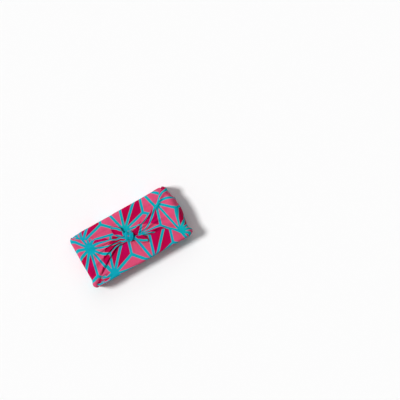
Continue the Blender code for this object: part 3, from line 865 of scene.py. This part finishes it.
def body_sheet(block):
    """The closed body of the cloth: rings from the base's middle up the sides and in over the top.

    Every point gets two places on the flat cloth: one on its front half and one on its back half.
    """
    points, front, back = [], [], []
    foot, _ = body_outline(block, block.foot, *OUTLINE_STEPS)
    for share in BASE_SHARES:
        ring = foot * share
        points.append(np.column_stack([ring, np.zeros(len(ring))]))
        front.append(np.column_stack([ring[:, 0] + BASE_ALONG, BASE_ACROSS + BASE_SCALE * ring[:, 1]]))
        back.append(front[-1])
    last = block.top_arc + block.drop + block.foot_arc
    back_foot = BASE_ACROSS + BASE_SCALE * (block.width / 2 - block.foot)
    foot_rows = np.linspace(last, last - block.foot_arc, FOOT_STEPS + 1)
    side_rows = np.linspace(last - block.foot_arc, block.top_arc, SIDE_STEPS + 1)[1:]
    edge_rows = np.linspace(block.top_arc, 0.0, EDGE_STEPS + 1)[1:]
    for distance in np.concatenate([foot_rows, side_rows, edge_rows]):
        run, z, out, up = block.fold_over(distance)
        places, normals = body_outline(block, block.top - run, *OUTLINE_STEPS)
        base = np.column_stack([places, np.full(len(places), z)])
        normal = np.column_stack([normals * out, np.full(len(places), up)])
        folds = np.zeros((len(places), 2))
        for row, (x, y) in enumerate(places):
            if y < block.corner - block.width / 2:
                folds[row] = corner_folds(x, distance)
            elif y < 0:
                folds[row] = corner_folds(x, -y - block.edge)
                folds[row] *= ease(1 - distance / block.top_arc)
        relief = [side_relief(block, *point) for point in base]
        points.append(block.lifted(base, normal, relief + folds[:, 0]))
        below = ease(distance / last)
        at_base = places[:, 0] + BASE_ALONG
        along, across = block.panel_cloth(places[:, 0], -block.edge, distance)
        across = across - folds[:, 1]
        front.append(np.column_stack([along + (at_base - along) * below, across]))
        back.append(np.column_stack([at_base, np.full(len(places), back_foot + last - distance)]))
    rim, _ = body_outline(block, block.top, *OUTLINE_STEPS)
    rim_shares = np.linspace(1.0, RIM_SHARE, RIM_STEPS + 1)[1:]
    top_shares = np.linspace(RIM_SHARE, 0.0, TOP_STEPS + 1)[1:]
    for share in np.concatenate([rim_shares, top_shares]):
        ring = rim * share
        base = np.column_stack([ring, np.full(len(ring), block.height + block.crown * (1 - share**2))])
        folds = np.array([corner_folds(x, -y - block.edge) for x, y in ring])
        relief = np.array([top_relief(block, x, y) for x, y in ring]) + folds[:, 0]
        points.append(block.lifted(base, np.tile((0.0, 0.0, 1.0), (len(ring), 1)), relief))
        front.append(np.array([block.panel_cloth(x, y) for x, y in ring]) - folds * (0.0, 1.0))
        back.append(np.column_stack([ring[:, 0] + BASE_ALONG, back_foot + last + block.edge - ring[:, 1]]))
    return [np.array(grid)[:, ::-1] for grid in (points, front, back)]


def corner_reach(across):
    """How far the cloth reaches along on each side, at a distance across from its middle."""
    return CLOTH_REACH - abs(across)


def on_back_panel(block, middles):
    """Whether a face of the body, by its middle, lies on the cloth's back half."""
    chosen = []
    for x, y, z in middles:
        if z < block.height - CHANGE_SHARE * block.top:
            chosen.append(y > 0)
            continue
        along, across = block.panel_cloth(x, y)
        chosen.append(abs(along) > corner_reach(across) - HEM_COVER)
    return np.array(chosen)


def tip_sheet(block):
    """The front corner's tip: over the top's back edge and down the back, between its slanting hems."""
    points, cloth = [], []
    for distance in np.linspace(TIP_START, block.edge_end, TIP_ROWS):
        run, z, lean, upright = block.fold_over(distance)
        y = block.edge + min(distance, 0.0)
        along, across = block.panel_cloth(0.0, y, max(distance, 0.0))
        scale = block.panel.read("scale", y)
        reach = corner_reach(across)
        ends = np.clip([(-reach - along) / scale, (reach - along) / scale], -TIP_WIDEST, TIP_WIDEST)
        x = np.linspace(*ends, TIP_COLUMNS)
        risen = ease((distance - TIP_START) / FADE_RUN)
        pressed = ease((block.edge_end - distance) / FADE_RUN)
        from_hem = np.minimum(x - ends[0], ends[1] - x)
        curl = HEM_CURL * np.exp(-((from_hem / HEM_CURL_WIDTH) ** 2))
        hang = TIP_WAVE * np.sin(x / TIP_WAVE_LENGTH + 1.0) * ease(distance / TIP_WAVE_FADE)
        crown = block.top_crown(x, y) if distance < 0 else 0.0
        lift = (TIP_REST + (TIP_LIFT + curl + hang) * pressed) * risen - TIP_SUNK * (1 - risen) + crown
        base = np.column_stack([x, np.full_like(x, block.edge + run), np.full_like(x, z)])
        normal = np.tile((0.0, float(lean), float(upright)), (len(x), 1))
        points.append(block.lifted(base, normal, lift))
        cloth.append(np.column_stack([along + x * scale, np.full_like(x, across)]))
    return np.array(points)[::-1], np.array(cloth)[::-1]


def tucked_sheet(block):
    """The back corner's cloth, which lies over the block and down its front, under the front corner's."""
    points, cloth = [], []
    x = np.linspace(-TUCK_HALF, TUCK_HALF, TUCK_COLUMNS)
    falls = np.linspace(TUCK_DROP, 0.0, TUCK_FALL_ROWS)
    rows = [(1.0, fall) for fall in falls]
    rows += [(place, 0.0) for place in np.linspace(1.0, -1.0, TUCK_TOP_ROWS)[1:-1]]
    rows += [(-1.0, fall) for fall in falls[::-1]]
    reach = BASE_ACROSS + BASE_SCALE * block.width / 2 + block.height - TUCK_DROP
    before = None
    for place, fall in rows:
        run, z, lean, upright = block.fold_over(fall)
        side = math.copysign(1.0, place)
        z = z + block.top_crown(x, block.edge * place) * upright
        y = block.edge * place + side * run
        base = np.column_stack([x, np.full_like(x, y), z])
        normal = np.tile((0.0, side * float(lean), float(upright)), (len(x), 1))
        points.append(block.lifted(base, normal, -TUCK_DEPTH))
        if before is not None:
            reach += math.dist(before, (y, float(z[0])))
        before = (y, float(z[0]))
        cloth.append(np.column_stack([x + BASE_ALONG, np.full_like(x, reach)]))
    return np.array(points)[:, ::-1], np.array(cloth)[:, ::-1]


def add_node(tree, kind, sockets=(), **settings):
    """Adds a node, sets its properties, and gives each input a value or a link."""
    node = tree.nodes.new(kind)
    for name, value in settings.items():
        setattr(node, name, value)
    for socket, source in dict(sockets).items():
        if isinstance(source, bpy.types.NodeSocket):
            tree.links.new(source, node.inputs[socket])
        else:
            node.inputs[socket].default_value = source
    return node


def a_size(name, description, default):
    """A size in metres for the panel."""
    return FloatProperty(name=name, description=description, default=default, unit="LENGTH")


def a_colour(name, description, code):
    """A colour for the panel, from its hex code."""
    colour = hex_colour(code)
    return FloatVectorProperty(name=name, description=description, default=colour, subtype="COLOR", size=4)


class WrapSizes(bpy.types.PropertyGroup):
    """The sizes of the block of folded cloth"""

    length: a_size("Length", "Length of the wrap", 0.252)
    width: a_size("Width", "Width of the wrap", 0.132)
    height: a_size("Height", "Height of the sides", 0.050)
    corner_radius: a_size("Corner radius", "Radius of the upright corners", 0.010)
    top_radius: a_size("Top radius", "Radius of the top edges", 0.006)
    foot_radius: a_size("Foot radius", "Radius of the bottom edges", 0.004)
    crown: a_size("Crown", "Rise of the top's middle", 0.0012)
    softness: a_size("Softness", "Height of the cloth's unevenness", 0.0006)
    thickness: a_size("Thickness", "Thickness of the cloth", 0.0005)


class PrintLook(bpy.types.PropertyGroup):
    """The print's colours and sizes, and the floor's colour"""

    line: a_colour("Line", "Teal of the lines", "#06A4AC")
    deep: a_colour("Deep fill", "Crimson of the diamonds", "#B0003C")
    pale: a_colour("Pale fill", "Pink of the triangles", "#D44C76")
    floor: a_colour("Floor", "Colour of the floor", "#F4F4F4")
    star_spacing: a_size("Star spacing", "Distance between stars in a row", 0.0948)
    row_spacing: a_size("Row spacing", "Distance between rows of stars", 0.079)
    line_width: a_size("Line width", "Width of the printed lines", 0.0061)
    hem: a_size("Hem", "Width of the hem", 0.005)
    thread: a_size("Thread", "Distance between threads", 0.0007)
    border: a_size("Border", "Width of the border where the fills change", 0.059)
    front_corner: a_size("Front corner", "Distance in front beyond which no border shows", 0.170)


def cotton(look):
    """Plain-woven cotton, screen printed.

    It is matt with hardly any gloss, its colours drift softly as dye does, each thread takes them a
    little differently along and across the weave, and the lines' edges wander as on any cloth.
    """
    material = bpy.data.materials.new("printed cotton")
    material.use_nodes = True
    tree = material.node_tree
    tree.nodes.clear()
    uv = add_node(tree, "ShaderNodeUVMap", uv_map="cloth").outputs["UV"]
    wobble = add_node(tree, "ShaderNodeTexNoise", {"Vector": uv, "Scale": WANDER_SCALE, "Detail": 2.0})
    centred = add_node(
        tree, "ShaderNodeVectorMath", {0: wobble.outputs["Color"], 1: (0.5, 0.5, 0.5)}, operation="SUBTRACT"
    )
    wander = {0: centred.outputs[0], 1: (LINE_WANDER, LINE_WANDER, 0.0), 2: uv}
    moved = add_node(tree, "ShaderNodeVectorMath", wander, operation="MULTIPLY_ADD")
    in_print = add_node(tree, "ShaderNodeSeparateXYZ", {0: moved.outputs[0]})
    in_cloth = add_node(tree, "ShaderNodeSeparateXYZ", {0: uv})
    drift = add_node(tree, "ShaderNodeTexNoise", {"Vector": uv, "Scale": DRIFT_SCALE, "Detail": 1.0})
    drift_range = {"Value": drift.outputs[0], "From Min": 0.35, "From Max": 0.65}
    values = {
        "p": in_print.outputs["X"],
        "q": in_print.outputs["Y"],
        "u": in_cloth.outputs["X"],
        "v": in_cloth.outputs["Y"],
        "row_spacing": look.row_spacing,
        "per_star": 1 / look.star_spacing,
        "triangle_height": look.star_spacing * math.sqrt(3) / 2,
        "border_inside": CLOTH_SIDE * MM / 2 - look.border,
        "front_limit": -look.front_corner / HALF_TURN,
        "half_side": CLOTH_SIDE * MM / 2,
        "hem": look.hem,
        "hem_end": look.hem + HEM_PAST_SEAM,
        "per_thread": math.pi / look.thread,
        "drift": add_node(tree, "ShaderNodeMapRange", drift_range).outputs[0],
    }
    for name, code in DRIFT_COLOURS.items():
        values[name] = getattr(look, name)
        values[name + "_drift"] = hex_colour(code)
    for name, stretch in (("warp", (1.0, THREAD_STRETCH, 1.0)), ("weft", (THREAD_STRETCH, 1.0, 1.0))):
        stretched = add_node(tree, "ShaderNodeVectorMath", {0: uv, 1: stretch}, operation="MULTIPLY")
        threads = {"Vector": stretched.outputs[0], "Scale": THREAD_SCALE, "Detail": 1.0}
        values[name] = add_node(tree, "ShaderNodeTexNoise", threads).outputs[0]
    for name, start, *operations in CLOTH_STEPS:
        result = values.get(start, start)
        for operation, *others in operations:
            sockets = dict(enumerate([result, *[values.get(other, other) for other in others]]))
            result = add_node(tree, "ShaderNodeMath", sockets, operation=operation).outputs[0]
        values[name] = result
    edge = {
        "Value": values["to_line"],
        "From Min": look.line_width / 2 - LINE_SOFTNESS,
        "From Max": look.line_width / 2 + LINE_SOFTNESS,
        "To Min": 1.0,
        "To Max": 0.0,
    }
    values["on_line"] = add_node(tree, "ShaderNodeMapRange", edge).outputs[0]
    for name, share, first, second in COLOUR_STEPS:
        sockets = {0: values[share], 6: values[first], 7: values[second]}
        values[name] = add_node(tree, "ShaderNodeMix", sockets, data_type="RGBA").outputs[2]
    shade_range = {"From Min": 0.6, "From Max": 1.4, "To Min": 0.90, "To Max": 1.10}
    shade = add_node(tree, "ShaderNodeMapRange", {"Value": values["uneven"], **shade_range})
    dyed = add_node(
        tree, "ShaderNodeVectorMath", {0: values["print"], "Scale": shade.outputs[0]}, operation="SCALE"
    )
    sewing = {0: values["stitch"], 6: dyed.outputs[0], 7: hex_colour(STITCH_COLOUR)}
    sewn = add_node(tree, "ShaderNodeMix", sewing, data_type="RGBA")
    bump = add_node(tree, "ShaderNodeBump", {"Height": values["relief"], "Strength": 0.7, "Distance": 1.0})
    surface = {
        "Base Color": sewn.outputs[2],
        "Roughness": 0.85,
        "Specular IOR Level": 0.05,
        "Normal": bump.outputs[0],
    }
    shader = add_node(tree, "ShaderNodeBsdfPrincipled", surface)
    add_node(tree, "ShaderNodeOutputMaterial", {"Surface": shader.outputs[0]})
    return material


def floor_material(look):
    """White card, pressed smooth: matt, which gives a clean pale floor with soft shadows."""
    material = bpy.data.materials.new("white card")
    material.use_nodes = True
    shader = material.node_tree.nodes["Principled BSDF"]
    shader.inputs["Base Color"].default_value = look.floor
    shader.inputs["Roughness"].default_value = 0.9
    return material


class FoldBody(bpy.types.Operator):
    """Lay the cloth under, round and over the block, with its front tip down the back"""

    bl_idname = "furoshiki.fold_body"
    bl_label = "Fold the body"

    def execute(self, context):
        block = Block(context.scene.wrap_sizes)
        points, front, back = body_sheet(block)
        body = add_sheet("body", points, front, True, back, lambda middles: on_back_panel(block, middles))
        close_poles(body)
        sheets = [body, add_sheet("tip", *tip_sheet(block)), add_sheet("tucked", *tucked_sheet(block))]
        for sheet in sheets:
            thicken(sheet, context.scene.wrap_sizes.thickness)
        return {"FINISHED"}


class TieCorners(bpy.types.Operator):
    """Bring the two end corners up over the top and tie them"""

    bl_idname = "furoshiki.tie_corners"
    bl_label = "Tie the corners"

    def execute(self, context):
        block = Block(context.scene.wrap_sizes)
        left = Arm(block, -1.0, LEFT_FLAP, LEFT_PLEATS, LEFT_SWELLS, LEFT_TAIL)
        right = Arm(block, 1.0, RIGHT_FLAP, RIGHT_PLEATS, RIGHT_SWELLS, RIGHT_TAIL)
        for name, arm in (("left", left), ("right", right)):
            sheet = add_sheet(name, *arm.sections())
            thicken(sheet, context.scene.wrap_sizes.thickness)
        return {"FINISHED"}


class FinishCloth(bpy.types.Operator):
    """Join the folds into one cloth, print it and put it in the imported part's place"""

    bl_idname = "furoshiki.finish_cloth"
    bl_label = "Finish the cloth"

    def execute(self, context):
        names = ("body", "tip", "tucked", "left", "right")
        select_only(*[bpy.data.objects[name] for name in names])
        bpy.ops.object.join()
        cloth = context.view_layer.objects.active
        cloth.name = PIECE
        cloth.data.name = PIECE
        cloth.data.materials.clear()
        cloth.data.materials.append(cotton(context.scene.print_look))
        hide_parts("wrap")
        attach(cloth, "root")
        return {"FINISHED"}


class SetStage(bpy.types.Operator):
    """Add the floor, the lights and the camera straight above"""

    bl_idname = "furoshiki.set_stage"
    bl_label = "Set the stage"

    def execute(self, context):
        bpy.ops.object.select_all(action="DESELECT")
        bpy.ops.mesh.primitive_plane_add(size=FLOOR_SIZE, location=(0.0, 0.0, 0.0))
        floor = context.object
        floor.name = "floor"
        floor.data.materials.append(floor_material(context.scene.print_look))
        world = bpy.data.worlds.new("studio")
        world.use_nodes = True
        world.node_tree.nodes["Background"].inputs[0].default_value = (1.0, 1.0, 1.0, 1.0)
        world.node_tree.nodes["Background"].inputs[1].default_value = ROOM_LIGHT
        context.scene.world = world
        for name, direction, softness, strength in LIGHTS:
            lamp = bpy.data.lights.new(name, "SUN")
            lamp.angle = math.radians(softness)
            lamp.energy = strength
            holder = bpy.data.objects.new(name, lamp)
            holder.location = direction
            holder.rotation_euler = Vector(direction).to_track_quat("Z", "Y").to_euler()
            context.scene.collection.objects.link(holder)
        camera = bpy.data.cameras.new("camera")
        camera.sensor_width = 36.0
        camera.lens = camera.sensor_width * VIEW_DISTANCE / VIEW_SPAN
        camera.clip_end = 5 * VIEW_DISTANCE
        holder = bpy.data.objects.new("camera", camera)
        holder.location = (*VIEW_MIDDLE, VIEW_DISTANCE)
        holder.rotation_euler = (0.0, 0.0, math.radians(VIEW_TURN))
        context.scene.collection.objects.link(holder)
        context.scene.camera = holder
        context.scene.view_settings.view_transform = "Standard"
        return {"FINISHED"}


class FuroshikiPanel(bpy.types.Panel):
    """The wrap's sizes, colours and steps"""

    bl_idname = "VIEW3D_PT_furoshiki"
    bl_label = "Furoshiki wrap"
    bl_space_type = "VIEW_3D"
    bl_region_type = "UI"
    bl_category = "Furoshiki"

    def draw(self, context):
        for group in (context.scene.wrap_sizes, context.scene.print_look):
            box = self.layout.box()
            for name in group.__annotations__:
                box.prop(group, name)
        for step in STEPS:
            self.layout.operator(step.bl_idname)


STEPS = (FoldBody, TieCorners, FinishCloth, SetStage)
CLASSES = (WrapSizes, PrintLook, *STEPS, FuroshikiPanel)


def register():
    for item in CLASSES:
        bpy.utils.register_class(item)
    bpy.types.Scene.wrap_sizes = PointerProperty(type=WrapSizes)
    bpy.types.Scene.print_look = PointerProperty(type=PrintLook)


def unregister():
    del bpy.types.Scene.print_look
    del bpy.types.Scene.wrap_sizes
    for item in reversed(CLASSES):
        bpy.utils.unregister_class(item)


def main():
    register()
    bpy.ops.furoshiki.fold_body()
    bpy.ops.furoshiki.tie_corners()
    bpy.ops.furoshiki.finish_cloth()
    bpy.ops.furoshiki.set_stage()


if __name__ == "__main__":
    main()
